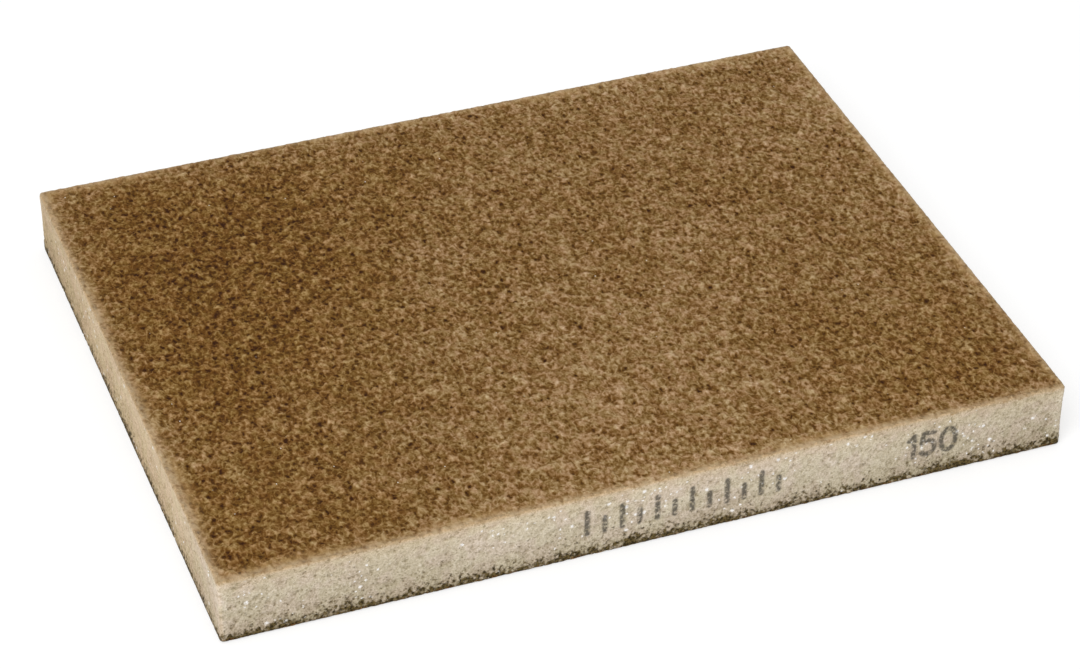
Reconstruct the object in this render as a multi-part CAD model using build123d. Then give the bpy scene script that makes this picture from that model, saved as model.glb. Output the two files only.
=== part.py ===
"""Flat two-sided sanding sponge: a slab of knife-cut foam with an abrasive coat on each broad face.

Millimetres, +Z up. The origin is at the centre of the lower sanding face, +X runs along the
length and -Y faces the long side that is read as the front. The pad is three bonded pieces:

  foam_core    the resilient slab, with four cut sides that pull in a little between the faces
  upper_coat   resin and grit bonded to the top of the foam, rolled over at its rim
  lower_coat   the same coat on the underside, which the pad rests on
"""

import os

from build123d import *

# Driving dimensions.
PAD_LENGTH = 123.0
PAD_WIDTH = 96.0
PAD_THICKNESS = 10.5  # over both coats
COAT_THICKNESS = 0.7  # grit, resin and the skin of foam that the resin soaks
SIDE_HOLLOW = 0.1  # how far a cut side lies behind its own top and bottom edges, at mid height
CORNER_RADIUS = 0.6  # the four upright corners
RIM_ROLL = 0.45  # radius over which a coat turns down to the cut side

# Fitted dimensions.
FOAM_BOTTOM = COAT_THICKNESS
FOAM_TOP = PAD_THICKNESS - COAT_THICKNESS
FOAM_MIDDLE = (FOAM_BOTTOM + FOAM_TOP) / 2


def cut_profile(section_plane, span):
    """The foam's section on an upright plane: flat above and below, with a shallow arc each side."""
    edge = span / 2
    waist = edge - SIDE_HOLLOW
    with BuildSketch(section_plane) as section:
        with BuildLine():
            Line((-edge, FOAM_BOTTOM), (edge, FOAM_BOTTOM))
            ThreePointArc((edge, FOAM_BOTTOM), (waist, FOAM_MIDDLE), (edge, FOAM_TOP))
            Line((edge, FOAM_TOP), (-edge, FOAM_TOP))
            ThreePointArc((-edge, FOAM_TOP), (-waist, FOAM_MIDDLE), (-edge, FOAM_BOTTOM))
        make_face()
    return section.sketch


def foam_core():
    """The slab where the two cut sections cross, so that the hollow sides meet in mitred corners."""
    lengthwise = extrude(cut_profile(Plane.XZ, PAD_LENGTH), amount=PAD_WIDTH / 2, both=True)
    crosswise = extrude(cut_profile(Plane.YZ, PAD_WIDTH), amount=PAD_LENGTH / 2, both=True)
    slab = lengthwise & crosswise
    level_edges = slab.faces().sort_by(Axis.Z)[0].edges() + slab.faces().sort_by(Axis.Z)[-1].edges()
    upright_corners = [edge for edge in slab.edges() if edge not in level_edges]
    return fillet(upright_corners, CORNER_RADIUS)


def coat(bonded_height, outward):
    """One abrasive coat: a sheet on the foam at bonded_height, facing outward (+1 up, -1 down)."""
    outline = Pos(0, 0, bonded_height) * RectangleRounded(PAD_LENGTH, PAD_WIDTH, CORNER_RADIUS)
    sheet = extrude(outline, amount=outward * COAT_THICKNESS)
    sanding_face = sheet.faces().sort_by(Axis.Z)[-1 if outward > 0 else 0]
    return fillet(sanding_face.edges(), RIM_ROLL)


PARTS = {
    "foam_core": foam_core(),
    "upper_coat": coat(FOAM_TOP, +1),
    "lower_coat": coat(FOAM_BOTTOM, -1),
}

os.makedirs("parts", exist_ok=True)
for name, solid in PARTS.items():
    export_step(solid, f"parts/{name}.step")
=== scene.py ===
"""The look of the flat sanding sponge: porous foam, two coats of grit and the stamped grit number.

Metres, +Z up, in the frame of the CAD model. Lengths written with MM are in metres. The others, such as
the sizes of the grain and the reach of the shades, are in millimetres.
"""

import math

import bpy
import numpy as np
from mathutils import Matrix, Vector, noise


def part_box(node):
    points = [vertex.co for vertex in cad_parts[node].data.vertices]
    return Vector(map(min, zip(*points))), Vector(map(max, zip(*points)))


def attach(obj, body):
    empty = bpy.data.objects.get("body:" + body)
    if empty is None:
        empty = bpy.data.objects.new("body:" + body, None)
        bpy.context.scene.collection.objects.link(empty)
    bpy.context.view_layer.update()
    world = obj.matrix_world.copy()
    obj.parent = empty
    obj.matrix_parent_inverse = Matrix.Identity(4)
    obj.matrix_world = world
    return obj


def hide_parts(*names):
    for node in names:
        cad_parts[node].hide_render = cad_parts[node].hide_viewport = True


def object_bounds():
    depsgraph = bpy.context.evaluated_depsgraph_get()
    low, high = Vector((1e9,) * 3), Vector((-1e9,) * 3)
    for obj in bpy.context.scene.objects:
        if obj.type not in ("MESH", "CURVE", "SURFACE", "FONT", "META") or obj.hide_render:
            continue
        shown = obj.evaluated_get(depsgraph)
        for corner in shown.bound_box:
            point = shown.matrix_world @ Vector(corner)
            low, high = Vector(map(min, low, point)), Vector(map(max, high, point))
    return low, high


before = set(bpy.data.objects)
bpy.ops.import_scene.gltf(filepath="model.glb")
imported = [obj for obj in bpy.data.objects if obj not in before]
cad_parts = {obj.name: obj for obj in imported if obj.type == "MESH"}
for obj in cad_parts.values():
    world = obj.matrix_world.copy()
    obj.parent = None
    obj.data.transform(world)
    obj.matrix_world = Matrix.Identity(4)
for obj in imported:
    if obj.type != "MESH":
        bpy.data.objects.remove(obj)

noise.seed_set(1)  # or else noise_vector would start from the time of day, and each run would differ

MM = 0.001
CAD_LOW, CAD_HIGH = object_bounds()
HALF_LENGTH, HALF_WIDTH, THICKNESS = CAD_HIGH.x, CAD_HIGH.y, CAD_HIGH.z
FOAM_BOTTOM, FOAM_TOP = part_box("foam_core")[0].z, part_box("foam_core")[1].z
COAT_THICKNESS = FOAM_BOTTOM  # the lower coat reaches from 0 to the foam, and the upper one is as thick

# The parts of the CAD section that a box doesn't tell.
SIDE_HOLLOW = 0.1 * MM
CORNER_RADIUS = 0.6 * MM
RIM_ROLL = 0.45 * MM

# Grid steps. The coats and the foam's sides stay under 200,000 triangles each.
COAT_STEP = 0.37 * MM
SIDE_STEP = 0.225 * MM
ROLL_ROWS = 4
LOOP_STEPS = (round(2 * HALF_LENGTH / SIDE_STEP), round(2 * HALF_WIDTH / SIDE_STEP))  # long and short side
LOOP_COUNT = 2 * sum(LOOP_STEPS)  # points in a loop round the pad

# How deep the surface is cut below its CAD face, at most.
GRIT_DEPTH = 0.42 * MM
PORE_DEPTH = 0.18 * MM
RUBBED_SHARE, RUBBED_WIDTH = 0.35, 2.0  # the share of the grit's relief at the rim, and where it is whole
SEAM_FADE = 0.4 * MM  # how far from a seam the pores have their full depth
USUAL_FOAM = 0.78  # what foam_height gives on average

# The grain of the relief, in millimetres.
CLUMP_SIZE, CREST_SIZE, SWELL_SIZE = 1.25, 0.85, 2.1
CELL_SIZE, CELL_SWELL_SIZE = 0.7, 1.3
GRIT_SQUEEZE = Vector((1.14, 0.86, 1.0))  # foam cells are longer along the way the foam rose, here Y


# Small sums.

def unit(value):
    return min(max(value, 0.0), 1.0)


def blend(share, a, b):
    """a at share 0 and b at share 1."""
    return (1 - share) * a + share * b


def fade(distance, reach):
    """1 at no distance, falling smoothly to a third at the reach and to almost nothing at twice as far."""
    return np.exp(-((distance / reach) ** 2))


def slow_noise(points, size):
    """A soft noise from -1 to 1 over patches of that size, in millimetres."""
    return np.array([noise.noise(Vector(p) / MM / size) for p in points])


# Relief: grit_height and foam_height take a point on the smooth surface and give 0 in a pit to 1 on a crest.

def uneven_cells(place, size, steepness, unevenness, seed):
    """Cells of that size: 0 along the lines between them, and up to 1 inside, less in some than in others."""
    gaps, centres = noise.voronoi(place / size)
    chance = noise.cell(centres[0] * seed)
    return unit(steepness * (gaps[1] - gaps[0])) * (1 - unevenness + unevenness * chance)


def grit_height(point):
    """Grit in uneven round clumps, with creases between them and curly crests across them."""
    place = Vector(point) * GRIT_SQUEEZE / MM
    elsewhere = Vector((31, 7, 3))  # far enough away for an unrelated noise
    warp = Vector((noise.noise(place * 0.9), noise.noise(place * 0.9 + elsewhere), 0))
    clump = uneven_cells(place + warp * 0.4, CLUMP_SIZE, steepness=2.4, unevenness=0.45, seed=7.3)
    crest = 1 - unit(2.2 * abs(noise.noise((place + warp * 0.5) / CREST_SIZE)))
    swell = 0.5 + 0.5 * noise.noise(place / SWELL_SIZE)
    return unit(0.5 * clump + 0.35 * crest + 0.15 * swell)


def foam_height(point):
    """Cells cut open by the knife: hollows of uneven depth with thin walls between them."""
    place = Vector(point) / MM
    bent = place + 0.25 * noise.noise_vector(place / CELL_SIZE)
    hollow = uneven_cells(bent, CELL_SIZE, steepness=2.2, unevenness=0.65, seed=9.7)
    swell = 0.5 + 0.5 * noise.noise(place / CELL_SWELL_SIZE)
    return unit(0.8 * (1 - hollow) + 0.2 * swell)


def grit_depth(grit, rim):
    """How deep the sanding face is cut at each point: less along the rim, where it is rubbed."""
    rubbed = blend(np.clip(rim / RUBBED_WIDTH, 0, 1), RUBBED_SHARE, 1)
    return GRIT_DEPTH * rubbed * (1 - grit)


def side_depth(points, foam):
    """How deep a cut side is hollowed at each point: evenly where two pieces meet, so that no seam shows."""
    from_seam = np.minimum(abs(points[:, 2] - FOAM_TOP), abs(points[:, 2] - FOAM_BOTTOM))
    free = np.clip(from_seam / SEAM_FADE, 0, 1)
    return PORE_DEPTH * (1 - USUAL_FOAM + free * (USUAL_FOAM - foam))


# Shades: each function takes points on the smooth surface and gives one number a point.

# Broad patches of the upper coat, partly its own uneven colour and partly painted sheen: x, y and radius in
# millimetres, and how much lighter it is there.
UPPER_MOTTLE_AND_SHEEN = (
    (-40, 26, 26, -0.15),
    (-52, -8, 24, -0.09),
    (-52, -44, 20, -0.09),
    (0, -28, 27, 0.06),
    (50, -40, 22, -0.08),
    (44, 36, 24, 0.02),
)
RIM_LIFT, RIM_FADE = 0.2, 2.0  # how much lighter a worn coat is at its rim, and over how many millimetres
WEAR_MOST, WEAR_WIDTH, WEAR_WANDER = 0.58, 2.6, 1.2  # how much foam shows there, and how far in it ends
FAR_WRAP = 0.4 * MM  # how much further the coats reach over their right and back rims
SIDE_REACH = 0.5 * MM  # points this near to the plane of a side lie on that side


def on_front(points):
    return points[:, 1] < -HALF_WIDTH + SIDE_REACH


def on_left(points):
    return points[:, 0] < -HALF_LENGTH + SIDE_REACH


def from_rim(points):
    """Millimetres inwards from the pad's outline, less the way down (or up) its side from a sanding face."""
    x, y = points[:, 0], points[:, 1]
    near = np.minimum(HALF_LENGTH + x, HALF_WIDTH + y)
    far = np.minimum(HALF_LENGTH - x, HALF_WIDTH - y) + FAR_WRAP
    sideways = np.minimum(THICKNESS - points[:, 2], points[:, 2])
    return (np.minimum(near, far) - sideways) / MM


def grit_tone(points, shades):
    """How much lighter or darker than usual the coat is: slow changes and broad patches, partly painted
    sheen.
    """
    x, y = points[:, 0] / MM, points[:, 1] / MM
    tone = 0.05 * slow_noise(points, 7)
    for centre_x, centre_y, radius, lift in shades:
        tone += lift * fade(np.hypot(x - centre_x, y - centre_y), radius)
    return tone


def rim_lift(rim):
    """How much lighter a worn coat is, at that many millimetres from the rim."""
    return RIM_LIFT * np.exp(-np.maximum(rim, 0) / RIM_FADE)


def rim_wear(points):
    """How much the pale foam shows through a worn coat: most at the rim, and further in at some places."""
    width = WEAR_WIDTH + WEAR_WANDER * slow_noise(points, 13)
    share = np.clip((width - from_rim(points)) / 3.0, 0, 1)
    return WEAR_MOST * share * share * (3 - 2 * share)


def foam_tone(points):
    """How much lighter or darker than usual the cut side is, with painted light on its left side and painted
    shade at its ends.
    """
    height = points[:, 2] / MM
    from_top = THICKNESS / MM - height
    from_back = (HALF_WIDTH - points[:, 1]) / MM
    from_corner = (HALF_LENGTH + HALF_WIDTH - abs(points[:, 0]) - abs(points[:, 1])) / MM
    tone = 0.04 + 0.06 * slow_noise(points, 12)
    tone -= 0.3 * np.clip((9 - height) / 9, 0, 1) ** 1.2  # it greys towards the bottom
    tone -= 0.08 * fade(height, 2.2)  # and is darker still beside the lower coat
    tone -= 0.07 * np.exp(-from_top / 0.9)  # and a little darker beside the upper one
    # Painted light over the left side, and painted shade at its far end.
    tone += on_left(points) * (0.05 - 0.16 * fade(from_back, 25))  # the far end of the left side is darker
    # Painted shade at both ends of the front.
    tone -= 0.12 * on_front(points) * fade(from_corner, 28)  # and so are both ends of the front
    return tone + 0.2 * fade(from_corner, 1.4)  # the upright corners are paler


def grime(points):
    """How much stray grit the cut side carries: much along the bottom edge, little above 3 mm."""
    height = points[:, 2] / MM
    patchy = 1 + 0.5 * slow_noise(points, 4)
    return patchy * (0.36 * fade(height, 1.7) + 0.26 * np.exp(-height / 5.0))


def yellowing(points):
    """How much the foam is tinted yellow: yellowed along its upper rim, and over its left side painted warm
    light, less so in front.
    """
    from_top = (THICKNESS - points[:, 2]) / MM
    from_front = (HALF_WIDTH + points[:, 1]) / MM
    # On the left side this tint is painted warm light.
    left = on_left(points) * (0.95 - 0.6 * fade(from_front, 14))
    return np.maximum(0.9 * np.exp(-from_top / 1.6), left)


# The stamped marks on the front side: x and z in millimetres.
STROKE_WIDTH = 0.8
NUMBER_LEFT, NUMBER_BASE, NUMBER_HEIGHT = 37.6, 3.95, 3.7
FIVE_OFFSET, NOUGHT_OFFSET = 1.9, 4.95  # how far right of the 1 they begin
ONE_WIDTH = 0.8
TICK_LEFT, TICK_PITCH, TICK_COUNT = -10.0, 2.55, 12
SHORT_TICK = 0.6  # the height of every second tick, as a share of the others' height
FAR_FROM_INK = 9.0  # more than far enough for no ink


def arc(centre, radii, start, end, count=16):
    """Points on an upright ellipse, from one angle to another, in degrees."""
    angles = np.radians(np.linspace(start, end, count))
    return np.column_stack([centre[0] + radii[0] * np.cos(angles), centre[1] + radii[1] * np.sin(angles)])


def stamped_strokes():
    """The middle lines of the grit number 150, and of a plain row of long and short ticks."""
    # The figures are one high here.
    one = np.array([(0.0, 0.8), (ONE_WIDTH / NUMBER_HEIGHT, 1.0), (ONE_WIDTH / NUMBER_HEIGHT, 0.0)])
    flag = [(0.52, 1.0), (0.08, 1.0), (0.03, 0.56)]
    five = np.concatenate([flag, arc((0.26, 0.33), (0.3, 0.33), 118, -140)])
    nought = arc((0.3, 0.5), (0.3, 0.5), 90, 450, 28)
    strokes = []
    for figure, offset in ((one, 0.0), (five, FIVE_OFFSET), (nought, NOUGHT_OFFSET)):
        strokes.append(figure * NUMBER_HEIGHT + (NUMBER_LEFT + offset, NUMBER_BASE))
    for tick in range(TICK_COUNT):
        x = TICK_LEFT + tick * TICK_PITCH
        height = NUMBER_HEIGHT * (SHORT_TICK if tick % 2 else 1.0)
        strokes.append(np.array([(x, NUMBER_BASE), (x, NUMBER_BASE + height)]))
    return strokes


def ink_distance(points):
    """Millimetres from each point to the middle line of the nearest stroke: far, if not on the front side."""
    spots = points[:, ::2] / MM
    nearest = np.full(len(points), FAR_FROM_INK)
    front = on_front(points)
    for stroke in stamped_strokes():
        for start, end in zip(stroke, stroke[1:]):
            span = end - start
            share = np.clip((spots - start) @ span / (span @ span), 0, 1)
            gap = np.linalg.norm(spots - start - share[:, None] * span, axis=1)
            nearest = np.where(front, np.minimum(nearest, gap), nearest)
    return nearest


# Meshes.

def rounded_loop(half_x, half_y, radius):
    """Points round a rounded rectangle and the way each faces, anticlockwise from its front left corner."""
    loop = []
    sides = ((half_x, half_y, LOOP_STEPS[0]), (half_y, half_x, LOOP_STEPS[1])) * 2
    for turn, (half_run, half_other, count) in enumerate(sides):
        straight = half_run - radius
        half_side = straight + math.pi / 4 * radius  # each side ends in the middle of a corner
        quarter = Matrix.Rotation(math.pi / 2 * turn, 2)
        for index in range(count):
            along = 2 * half_side * index / count - half_side
            x = min(max(along, -straight), straight)
            lean = (along - x) / radius
            facing = Vector((math.sin(lean), -math.cos(lean)))
            spot = Vector((x, radius - half_other)) + facing * radius
            loop.append((*(quarter @ spot), *(quarter @ facing)))
    return np.array(loop)


def ring(inset, height, lean):
    """One loop of surface points and outward normals, which lean up (or down) from level by that angle."""
    loop = rounded_loop(HALF_LENGTH - inset, HALF_WIDTH - inset, CORNER_RADIUS - inset)
    points = np.column_stack([loop[:, :2], np.full(len(loop), height)])
    normals = np.column_stack([loop[:, 2:] * math.cos(lean), np.full(len(loop), math.sin(lean))])
    return points, normals


def band_faces(rows):
    """Quads between neighbouring loops."""
    faces = []
    for row in range(rows - 1):
        low, high = row * LOOP_COUNT, (row + 1) * LOOP_COUNT
        for i in range(LOOP_COUNT):
            after = (i + 1) % LOOP_COUNT
            faces.append((low + i, low + after, high + after, high + i))
    return faces


def make_mesh(name, points, faces, **numbers):
    """An object with smooth faces, and one stored number a vertex for each keyword."""
    mesh = bpy.data.meshes.new(name)
    mesh.from_pydata(points.tolist(), [], faces)
    mesh.shade_smooth()
    rims = {key for face in mesh.polygons if face.loop_total > 4 for key in face.edge_keys}
    for edge in mesh.edges:
        edge.use_edge_sharp = edge.key in rims  # the wide hidden faces are shaded apart from the sides
    for key, values in numbers.items():
        mesh.attributes.new(key, "FLOAT", "POINT").data.foreach_set("value", np.asarray(values, np.float32))
    mesh.validate()
    piece = bpy.data.objects.new(name, mesh)
    bpy.context.scene.collection.objects.link(piece)
    return piece


BAKE_GAP = 0.002  # free space round what is laid out on a bake map, whose sides are 1 long


def keep_map(piece, corners):
    """The places of the piece's face corners on the square map that its colours are baked through."""
    piece.data.uv_layers.new(name="OFBake").uv.foreach_set("vector", corners.astype(np.float32).ravel())


def corner_vertices(piece):
    vertices = np.zeros(len(piece.data.loops), np.int32)
    piece.data.loops.foreach_get("vertex_index", vertices)
    return vertices


def in_box(spots, left, bottom, width, height):
    """Places from -1 to 1 moved into a box of the bake map."""
    return np.array([left, bottom]) + (spots + 1) / 2 * [width, height]


def map_coat(piece, unrolled, grid_spots):
    """The sanding face seen from above, with its rim unrolled round it; the hidden back squeezed in above."""
    border = rounded_loop(HALF_LENGTH - RIM_ROLL, HALF_WIDTH - RIM_ROLL, CORNER_RADIUS - RIM_ROLL)
    edge_spots = [border[:, :2] + border[:, 2:] * out for out in unrolled]
    half = np.array([HALF_LENGTH, HALF_WIDTH]) - RIM_ROLL + unrolled[0]
    spots = np.concatenate([*edge_spots, grid_spots]) / half
    share = half[1] / half[0]
    width = 1 - 2 * BAKE_GAP
    vertices = corner_vertices(piece)
    corners = in_box(spots[vertices], BAKE_GAP, BAKE_GAP, width, width * share)
    back = piece.data.polygons[-1]
    hidden = slice(back.loop_start, back.loop_start + back.loop_total)
    back_bottom = share + 5 * BAKE_GAP
    corners[hidden] = in_box(
        spots[vertices[hidden]], BAKE_GAP, back_bottom, width, 1 - BAKE_GAP - back_bottom
    )
    keep_map(piece, corners)


def map_foam(piece, levels):
    """Each cut side as two stacked strips; the two hidden faces squeezed in beside them."""
    strips, half_count = 8, (LOOP_STEPS[0] + 1) // 2  # half_count is the number of quads in the widest strip
    width, gap = 0.84, 2 * BAKE_GAP
    start, strip = [], []
    for side, count in enumerate(LOOP_STEPS * 2):
        half = (count + 1) // 2
        start += [index % half for index in range(count)]
        strip += [2 * side + index // half for index in range(count)]
    left = np.array(start) * width / half_count + gap
    right = left + width / half_count
    height = 1 / strips - 2 * gap
    low = np.array(strip) / strips + gap + np.arange(levels - 1)[:, None] * height / (levels - 1)
    high = low + height / (levels - 1)
    left, right = np.broadcast_to(left, low.shape), np.broadcast_to(right, low.shape)
    quads = np.stack([left, low, right, low, right, high, left, high], -1).reshape(-1, 2)
    vertices = corner_vertices(piece)[len(quads) :]
    points = np.array([piece.data.vertices[v].co[:2] for v in vertices]) / [HALF_LENGTH, HALF_WIDTH]
    hidden = in_box(points, width + 3 * gap, gap, 1 - width - 4 * gap, 0.5 - 2 * gap)
    hidden[LOOP_COUNT:, 1] += 0.5
    keep_map(piece, np.concatenate([quads, hidden]))


def stitch(outer, inner):
    """Triangles between two runs of vertices that lie side by side and start and end together."""
    faces, i, j = [], 0, 0
    while i < len(outer) - 1 or j < len(inner) - 1:
        if (i + 1) * (len(inner) - 1) <= (j + 1) * (len(outer) - 1):
            faces.append((outer[i], outer[i + 1], inner[j]))
            i += 1
        else:
            faces.append((outer[i], inner[j + 1], inner[j]))
            j += 1
    return faces


def coat_edge(bonded, outward):
    """The loops up a coat's side and over its rim, and how far outside its flat face each lies unrolled."""
    straight = COAT_THICKNESS - RIM_ROLL
    quarter_roll = RIM_ROLL * math.pi / 2
    loops = [ring(0.0, bonded, 0.0), ring(0.0, bonded + outward * straight, 0.0)]
    unrolled = [quarter_roll + straight, quarter_roll]
    for step in range(1, ROLL_ROWS):
        lean = math.pi / 2 * step / ROLL_ROWS
        inset, rise = RIM_ROLL * (1 - math.cos(lean)), RIM_ROLL * math.sin(lean)
        loops.append(ring(inset, bonded + outward * (straight + rise), outward * lean))
        unrolled.append(quarter_roll - RIM_ROLL * lean)
    points, normals = map(np.concatenate, zip(*loops))
    return points, normals, unrolled


def sanding_grid(face, first):
    """The fine grid inside the rim, its vertices numbered from first, and its borders from the front on."""
    across, along = round(2 * HALF_LENGTH / COAT_STEP), round(2 * HALF_WIDTH / COAT_STEP)
    xs = np.linspace(-1, 1, across + 1) * (HALF_LENGTH - RIM_ROLL)
    ys = np.linspace(-1, 1, along + 1) * (HALF_WIDTH - RIM_ROLL)
    grid_x, grid_y = np.meshgrid(xs, ys)
    points = np.column_stack([grid_x.ravel(), grid_y.ravel(), np.full(grid_x.size, face)])
    grid = np.arange(grid_x.size).reshape(grid_x.shape) + first
    quads = np.stack([grid[:-1, :-1], grid[:-1, 1:], grid[1:, 1:], grid[1:, :-1]], -1)
    borders = (grid[0], grid[:, -1], grid[-1, ::-1], grid[::-1, 0])
    return points, quads.reshape(-1, 4).tolist(), borders


def coat_piece(name, bonded, face, shades, worn):
    """A coat of grit: fine grid on its sanding face, a rolled rim, and a flat back on the foam."""
    outward = 1 if face > bonded else -1
    points, normals, unrolled = coat_edge(bonded, outward)
    grid_points, grid_faces, borders = sanding_grid(face, len(points))
    faces = band_faces(len(unrolled)) + grid_faces
    # The innermost loop of the rim is joined to the grid, one side of the pad after the other.
    rim_loop = np.arange(LOOP_COUNT + 1) % LOOP_COUNT + len(points) - LOOP_COUNT
    corner = 0
    for count, border in zip(LOOP_STEPS * 2, borders):
        faces += stitch(rim_loop[corner : corner + count + 1].tolist(), border.tolist())
        corner += count
    faces.append(tuple(reversed(range(LOOP_COUNT))))  # the back, which map_coat expects to be last
    if outward < 0:
        faces = [tuple(reversed(face_corners)) for face_corners in faces]
    points = np.concatenate([points, grid_points])
    normals = np.concatenate([normals, np.tile((0.0, 0.0, outward), (len(grid_points), 1))])

    flatness = np.abs(normals[:, 2])
    grit = np.array([grit_height(p) for p in points])
    foam = np.array([foam_height(p) for p in points])
    rim = from_rim(points)
    depth = blend(flatness, side_depth(points, foam), grit_depth(grit, rim))
    piece = make_mesh(
        name,
        points - normals * depth[:, None],
        faces,
        relief=blend(flatness, foam, grit),
        tone=blend(flatness, foam_tone(points), grit_tone(points, shades) + worn * rim_lift(rim)),
        rim=rim,
        wear=worn * rim_wear(points),
        grime=grime(points),
        yellow=yellowing(points),
    )
    map_coat(piece, unrolled, grid_points[:, :2])
    return piece


def foam_piece(name):
    """The foam slab: fine grids of cut cells on its four sides, closed flat above and below."""
    levels = round((FOAM_TOP - FOAM_BOTTOM) / SIDE_STEP) + 1
    middle, half = (FOAM_TOP + FOAM_BOTTOM) / 2, (FOAM_TOP - FOAM_BOTTOM) / 2
    loops = []
    for height in np.linspace(FOAM_BOTTOM, FOAM_TOP, levels):
        hollow = SIDE_HOLLOW * (1 - ((height - middle) / half) ** 2)
        loops.append(ring(hollow, height, 0.0))
    points, normals = map(np.concatenate, zip(*loops))
    foam = np.array([foam_height(p) for p in points])
    faces = band_faces(levels)
    faces.append(tuple(reversed(range(LOOP_COUNT))))
    faces.append(tuple(range((levels - 1) * LOOP_COUNT, levels * LOOP_COUNT)))
    piece = make_mesh(
        name,
        points - normals * side_depth(points, foam)[:, None],
        faces,
        relief=foam,
        tone=foam_tone(points),
        grime=grime(points),
        yellow=yellowing(points),
        ink=ink_distance(points),
    )
    map_foam(piece, levels)
    return piece


# Materials. Sizes and reaches are in millimetres. Colours are 0 to 255 screen values.

# From the deepest pit to the highest crest: partly the grit's own colour, partly painted shade in the pits
# and painted light on the crests.
GRIT_COLOURS = (
    (0.0, (52, 24, 0)),
    (0.3, (101, 67, 21)),
    (0.5, (131, 99, 57)),
    (0.72, (161, 130, 94)),
    (0.9, (179, 150, 115)),
    (1.0, (194, 169, 136)),
)
# Dark in the holes as painted shade, and darker where the tone is low.
FOAM_COLOURS = (
    (0.0, (113, 99, 75)),
    (0.25, (160, 146, 122)),
    (0.55, (191, 177, 155)),
    (0.8, (213, 200, 181)),
    (1.0, (229, 218, 204)),
)
WHITE = (255, 255, 255)
GREENISH_GRIT, PINKISH_GRIT = (251, 255, 246), (255, 251, 251)  # tints
GOLDEN_GRIT = (255, 251, 228)  # the tint of the darker coat
WORN_COAT, WORN_RIM = (180, 145, 94), (184, 162, 130)
GREENISH_FOAM, PINKISH_FOAM = (253, 255, 250), (255, 253, 254)  # tints
# The yellow tint is yellowed foam at the upper rim and painted warm light on the left side.
YELLOWED_AND_WARM_LIT_FOAM, STAINED_FOAM = (255, 242, 221), (230, 218, 200)  # tints
# Painted glints: near-white spots in the colour for light reflected by grains of grit and cell walls of the
# foam.
GRIT_PAINTED_GLINT, FOAM_PAINTED_GLINT = (240, 232, 218), (252, 249, 246)
DARK_SPECK, BROWN_SPECK = (46, 36, 12), (104, 88, 52)
INK = (74, 70, 62)

GRIT_HOLE_SIZE, STRAND_SIZE, GRAIN_SIZE = 1.05, 1.15, 0.17
FINE_PATCH_SIZE, BROAD_PATCH_SIZE = 0.62, 1.7
LARGE_HOLE_SIZE, SMALL_HOLE_SIZE, FROTH_SIZE = 0.65, 0.38, 0.24
BUMP_DISTANCE = 0.16 * MM


def paint(value):
    """A colour socket as it is, or a colour of 0 to 255 screen values as the linear light Blender takes."""
    if isinstance(value, bpy.types.NodeSocket):
        return value
    linear = [c / 255 / 12.92 if c <= 10 else ((c / 255 + 0.055) / 1.055) ** 2.4 for c in value]
    return (*linear, 1.0)


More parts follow.
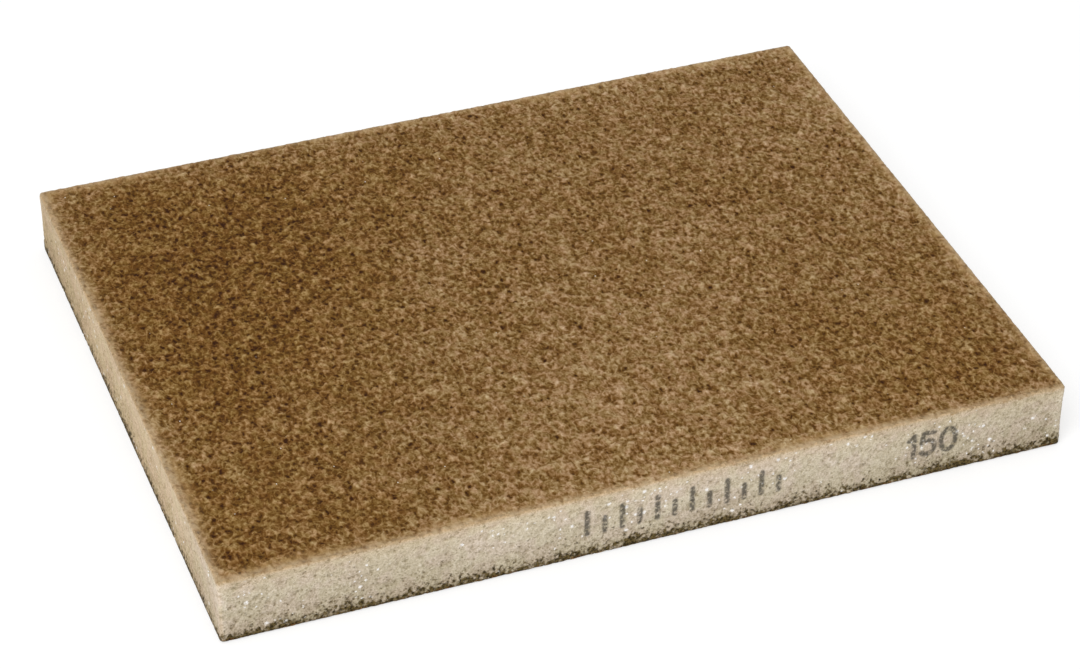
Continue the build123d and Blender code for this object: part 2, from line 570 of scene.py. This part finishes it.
class Shader:
    """Short calls that add nodes to one material."""

    def __init__(self, name):
        self.material = bpy.data.materials.new(name)
        self.material.use_nodes = True
        self.tree = self.material.node_tree
        self.tree.nodes.clear()

    def node(self, kind, inputs=(), **settings):
        made = self.tree.nodes.new("ShaderNode" + kind)
        for key, value in settings.items():
            setattr(made, key, value)
        for key, value in dict(inputs).items():
            if isinstance(value, bpy.types.NodeSocket):
                self.tree.links.new(value, made.inputs[key])
            else:
                made.inputs[key].default_value = value
        return made

    # Places.

    def place(self):
        """The point on the object, in millimetres."""
        at = self.node("TexCoord").outputs["Object"]
        return self.node("VectorMath", {0: at, "Scale": 1 / MM}, operation="SCALE").outputs[0]

    def squeezed(self, place, factors):
        return self.node("VectorMath", {0: place, 1: factors}, operation="MULTIPLY").outputs[0]

    def warp(self, place, size, reach):
        """The place, moved about by up to reach over patches of that size."""
        wander = self.node("TexNoise", {"Vector": place, "Scale": 1 / size, "Detail": 1.0}).outputs["Color"]
        middle = (0.5, 0.5, 0.5)
        centred = self.node("VectorMath", {0: wander, 1: middle}, operation="SUBTRACT").outputs[0]
        inputs = {0: centred, 1: (2 * reach,) * 3, 2: place}
        return self.node("VectorMath", inputs, operation="MULTIPLY_ADD").outputs[0]

    # Numbers.

    def number(self, key):
        """A number that the mesh stores under that name."""
        return self.node("Attribute", attribute_name=key, attribute_type="GEOMETRY").outputs["Fac"]

    def math(self, operation, *values):
        return self.node("Math", dict(enumerate(values)), operation=operation).outputs[0]

    def total(self, *parts, start=0.0):
        """start, plus each value times its weight."""
        for value, weight in parts:
            start = self.math("MULTIPLY_ADD", value, weight, start)
        return start

    def spread(self, value, low, high, to_low=0.0, to_high=1.0):
        """value from low to high turned smoothly to to_low to to_high."""
        inputs = {"Value": value, "From Min": low, "From Max": high, "To Min": to_low, "To Max": to_high}
        return self.node("MapRange", inputs, interpolation_type="SMOOTHSTEP").outputs[0]

    def noise(self, place, size, detail=2.0):
        return self.node("TexNoise", {"Vector": place, "Scale": 1 / size, "Detail": detail}).outputs["Fac"]

    def patches(self, place, size):
        """0 in some patches of that size and 1 in the others, with soft borders."""
        return self.spread(self.noise(place, size, 1.0), 0.38, 0.62)

    def cells(self, place, size, randomness=1.0):
        """Cells of that size: how far their middle is, and a chance number for each."""
        inputs = {"Vector": place, "Scale": 1 / size, "Randomness": randomness}
        made = self.node("TexVoronoi", inputs)
        chance = self.node("SeparateColor", {0: made.outputs["Color"]}).outputs[0]
        return made.outputs["Distance"], chance

    def holes(self, place, size):
        """1 in the middle of the deepest round holes, one in each cell of that size, of uneven depth."""
        away, chance = self.cells(place, size)
        return self.math("MULTIPLY", self.spread(away, 0.55, 0.1), self.math("POWER", chance, 1.6))

    def strands(self, place, size):
        """1 along curly lines, in the middle of a noise's range."""
        line = self.math("ABSOLUTE", self.math("SUBTRACT", self.noise(place, size, 1.0), 0.5))
        return self.spread(line, 0.1, 0.0)

    def spots(self, place, size, radius, share):
        """1 inside round spots: one in some of the cells of that size, as share says."""
        away, chance = self.cells(place, size, 0.7)
        chosen = self.math("GREATER_THAN", chance, self.math("SUBTRACT", 1.0, share))
        return self.math("MULTIPLY", chosen, self.spread(away, radius / size, 0.3 * radius / size))

    def painted_glints(self, place):
        """Painted glints: bright spots in the foam's colour for light reflected by its cells, in loose
        clusters: some large, more of them small.
        """
        crowded = self.spread(self.noise(place, size=5.0, detail=1.0), 0.4, 0.75)
        bent = self.warp(place, size=0.3, reach=0.22)
        large = self.spots(bent, size=1.3, radius=0.4, share=self.math("MULTIPLY", crowded, 0.36))
        small = self.spots(bent, size=0.8, radius=0.24, share=self.math("MULTIPLY", crowded, 0.5))
        return self.math("MAXIMUM", large, small)

    # Colours.

    def ramp(self, value, stops):
        made = self.node("ValToRGB", {"Fac": value})
        elements = made.color_ramp.elements
        while len(elements) < len(stops):
            elements.new(0.5)
        for element, (position, colour) in zip(elements, stops):
            element.position = position
            element.color = paint(colour)
        return made.outputs["Color"]

    def mix(self, share, a, b, blend_type="MIX"):
        """The colour a at share 0 and b, or a blended with b, at share 1."""
        inputs = {0: share, 6: paint(a), 7: paint(b)}
        made = self.node("Mix", inputs, data_type="RGBA", blend_type=blend_type, clamp_factor=True)
        return made.outputs[2]

    def tint(self, colour, share, a, b):
        """The colour, tinted with a at share 0 and with b at share 1."""
        return self.mix(1.0, colour, self.mix(share, a, b), "MULTIPLY")

    def surface(self, colour, fine):
        """The finished material: matt, with fine heights as bump."""
        bump = self.node("Bump", {"Height": fine, "Distance": BUMP_DISTANCE, "Strength": 0.8})
        inputs = {"Base Color": colour, "Roughness": 0.8, "Specular IOR Level": 0.15}
        inputs["Normal"] = bump.outputs[0]
        shader = self.node("BsdfPrincipled", inputs)
        self.node("OutputMaterial", {"Surface": shader.outputs[0]})
        return self.material


def grit_look(make, place):
    """Colour and fine height of the coat: tan curly strands of grit round dark holes, single grains and a few
    painted glints.
    """
    place = make.squeezed(place, GRIT_SQUEEZE)
    bent = make.warp(place, size=0.8, reach=0.35)
    grain, grey = make.cells(place, GRAIN_SIZE)
    fine = make.total(
        (make.holes(bent, GRIT_HOLE_SIZE), -0.34),
        (make.strands(bent, STRAND_SIZE), 0.22),
        (grain, -0.1),
    )
    height = make.total(
        (fine, 1.0),
        (make.number("relief"), 0.44),
        (make.number("tone"), 1.0),
        (make.noise(place, FINE_PATCH_SIZE, detail=1.0), 0.95),
        (make.noise(place, BROAD_PATCH_SIZE, detail=1.0), 0.36),
        (grey, 0.06),
        start=-0.38,
    )
    # Dark pits and pale crests: partly the grit's own colour, partly painted shade and light.
    colour = make.ramp(height, GRIT_COLOURS)
    colour = make.tint(colour, make.patches(place, size=1.6), GREENISH_GRIT, PINKISH_GRIT)
    colour = make.tint(colour, make.spread(make.number("tone"), 0.03, -0.14), WHITE, GOLDEN_GRIT)
    worn = make.mix(make.spread(make.number("rim"), 2.0, 0.2), WORN_COAT, WORN_RIM)
    patchy = make.spread(make.noise(place, size=0.9), 0.3, 0.7, to_low=0.45, to_high=1.55)
    colour = make.mix(make.math("MULTIPLY", make.number("wear"), patchy), colour, worn)
    # A few painted glints: near-white spots for light reflected by single grains.
    return make.mix(make.spots(place, size=1.6, radius=0.14, share=0.05), colour, GRIT_PAINTED_GLINT), fine


def foam_look(make, place):
    """Colour and fine height of the cut foam: cream, with soft holes of uneven depth, darkened as painted
    shade.
    """
    bent = make.warp(place, size=0.4, reach=0.16)
    holes = make.math("MAXIMUM", make.holes(bent, LARGE_HOLE_SIZE), make.holes(bent, SMALL_HOLE_SIZE))
    holes = make.math("MULTIPLY", holes, make.total((make.number("grime"), 1.2), start=0.5))
    fine = make.total((holes, -0.6), (make.noise(place, FROTH_SIZE), 0.9))
    height = make.total((fine, 1.0), (make.number("relief"), 0.4), (make.number("tone"), 1.0), start=-0.01)
    colour = make.ramp(height, FOAM_COLOURS)
    # Yellowed foam at the upper rim, painted warm light on the left side.
    return make.tint(colour, make.number("yellow"), WHITE, YELLOWED_AND_WARM_LIT_FOAM), fine


def with_painted_glints(make, place, colour):
    """A few painted glints, bright spots for light reflected by cells of the foam, and a slight change of hue
    from place to place.
    """
    colour = make.tint(colour, make.patches(place, size=2.6), GREENISH_FOAM, PINKISH_FOAM)
    return make.mix(make.math("MULTIPLY", make.painted_glints(place), 0.92), colour, FOAM_PAINTED_GLINT)


def with_specks(make, place, colour):
    """Dark grit that strays from the lower coat over the cut side."""
    lumps = make.total((make.noise(place, size=0.62, detail=3.0), 1.3), (make.number("grime"), 1.0))
    brown = make.spread(make.noise(place, size=0.4, detail=1.0), 0.35, 0.65)
    return make.mix(make.spread(lumps, 0.88, 1.2), colour, make.mix(brown, DARK_SPECK, BROWN_SPECK))


def with_print(make, place, colour):
    """The stamped marks: grey ink that the pores break up."""
    edge, softness = STROKE_WIDTH / 2, 0.2
    stroke = make.spread(make.number("ink"), edge + softness, edge - softness)
    taken = make.spread(make.noise(place, size=0.55, detail=3.0), 0.26, 0.56)
    share = make.math("MULTIPLY", make.math("MULTIPLY", stroke, taken), 0.86)
    return make.mix(share, colour, INK)


def coat_material(name):
    """Grit that ends along a ragged line at the rim, and the foam of the cut side beyond it."""
    make = Shader(name)
    place = make.place()
    grit, grit_fine = grit_look(make, place)
    foam, foam_fine = foam_look(make, place)
    ragged = make.total(
        (make.noise(place, size=1.5), 3.4),
        (make.noise(place, size=0.3), 3.0),
        (make.number("rim"), 1.0),
    )
    coated = make.spread(ragged, 2.8, 3.6)
    foam = make.tint(foam, make.spread(make.number("rim"), -0.7, 0.2), WHITE, STAINED_FOAM)
    colour = make.mix(coated, with_specks(make, place, foam), grit)
    fine = make.node("Mix", {0: coated, 2: foam_fine, 3: grit_fine}).outputs[0]
    return make.surface(colour, fine)


def foam_material(name):
    """The cut side, with painted glints, stray grit and the stamped marks."""
    make = Shader(name)
    place = make.place()
    foam, fine = foam_look(make, place)
    # Painted glints over the foam's colour.
    bright = with_painted_glints(make, place, foam)
    return make.surface(with_print(make, place, with_specks(make, place, bright)), fine)


# Room: pale floor, soft light and the camera.

CAMERA_AZIMUTH, CAMERA_ELEVATION, CAMERA_ROLL = -20.64, 36.57, 0.35
CAMERA_DISTANCE = 510.3 * MM
CAMERA_AIM = Vector((1.68, 1.60, 0.0)) * MM
CAMERA_LENS, SENSOR_WIDTH = 115.70, 36.0  # millimetres, as Blender's cameras take them
FLOOR_HALF = 3.0
FLOOR_GREY, SEEN_FLOOR_GREY, SEEN_FLOOR_GLOW = 0.8, 0.45, 0.58


def direction(azimuth, elevation):
    """The unit vector towards that azimuth, from the front anticlockwise, and elevation, in degrees."""
    azimuth, elevation = math.radians(azimuth), math.radians(elevation)
    level = math.cos(elevation)
    return Vector((math.sin(azimuth) * level, -math.cos(azimuth) * level, math.sin(elevation)))


def add_camera():
    back = direction(CAMERA_AZIMUTH, CAMERA_ELEVATION)
    right = direction(CAMERA_AZIMUTH + 90, 0)
    upright = Matrix((right, back.cross(right), back)).transposed()
    turned = upright @ Matrix.Rotation(math.radians(CAMERA_ROLL), 3, "Z")
    data = bpy.data.cameras.new("camera")
    data.lens, data.sensor_width = CAMERA_LENS, SENSOR_WIDTH
    data.clip_start = 10 * MM
    camera = bpy.data.objects.new("camera", data)
    camera.matrix_world = Matrix.Translation(CAMERA_AIM + back * CAMERA_DISTANCE) @ turned.to_4x4()
    bpy.context.scene.collection.objects.link(camera)
    bpy.context.scene.camera = camera


def add_floor():
    """A floor that the camera sees as white with the pad's shadow on it, and that lights the pad as grey."""
    corners = np.array([(-1, -1, 0), (1, -1, 0), (1, 1, 0), (-1, 1, 0)]) * FLOOR_HALF
    floor = make_mesh("floor", corners, [(0, 1, 2, 3)])
    make = Shader("floor_paint")
    lit = make.node("BsdfDiffuse", {"Color": (*[FLOOR_GREY] * 3, 1)}).outputs[0]
    shaded = make.node("BsdfDiffuse", {"Color": (*[SEEN_FLOOR_GREY] * 3, 1)}).outputs[0]
    glow = make.node("Emission", {"Color": (1, 1, 1, 1), "Strength": SEEN_FLOOR_GLOW}).outputs[0]
    seen = make.node("AddShader", {0: shaded, 1: glow}).outputs[0]
    by_camera = make.node("LightPath").outputs["Is Camera Ray"]
    both = make.node("MixShader", {0: by_camera, 1: lit, 2: seen}).outputs[0]
    make.node("OutputMaterial", {"Surface": both})
    floor.data.materials.append(make.material)


def add_lamp(name, azimuth, elevation, distance, size, power):
    """A round lamp that far from the origin, facing it."""
    data = bpy.data.lights.new(name, "AREA")
    data.shape, data.size, data.energy = "DISK", size, power
    lamp = bpy.data.objects.new(name, data)
    toward = direction(azimuth, elevation)
    turned = toward.to_track_quat("Z", "Y").to_matrix().to_4x4()
    lamp.matrix_world = Matrix.Translation(toward * distance) @ turned
    bpy.context.scene.collection.objects.link(lamp)


def add_world(light):
    """White where the camera sees it, and an even light of that strength on everything else."""
    world = bpy.data.worlds.new("studio")
    world.use_nodes = True
    nodes, links = world.node_tree.nodes, world.node_tree.links
    nodes.clear()
    path = nodes.new("ShaderNodeLightPath")
    mixer = nodes.new("ShaderNodeMixShader")
    dim, white = nodes.new("ShaderNodeBackground"), nodes.new("ShaderNodeBackground")
    dim.inputs["Color"].default_value = white.inputs["Color"].default_value = (1, 1, 1, 1)
    dim.inputs["Strength"].default_value = light
    white.inputs["Strength"].default_value = 1.0
    links.new(path.outputs["Is Camera Ray"], mixer.inputs[0])
    links.new(dim.outputs[0], mixer.inputs[1])
    links.new(white.outputs[0], mixer.inputs[2])
    output = nodes.new("ShaderNodeOutputWorld")
    links.new(mixer.outputs[0], output.inputs[0])
    bpy.context.scene.world = world


def dress(piece, node, material):
    """Makes a piece stand for one CAD node."""
    piece.data.materials.append(material)
    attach(piece, "root")
    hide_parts(node)


bpy.context.scene.view_settings.view_transform = "Standard"
add_camera()
add_floor()
add_world(light=0.6)
add_lamp("key", azimuth=-40, elevation=50, distance=1.2, size=0.8, power=9.0)

foam = foam_piece("foam")
dress(foam, "foam_core", foam_material("foam"))
upper = coat_piece("upper_grit", FOAM_TOP, THICKNESS, UPPER_MOTTLE_AND_SHEEN, worn=1.0)
dress(upper, "upper_coat", coat_material("upper_grit"))
lower = coat_piece("lower_grit", FOAM_BOTTOM, 0.0, (), worn=0.0)
dress(lower, "lower_coat", coat_material("lower_grit"))
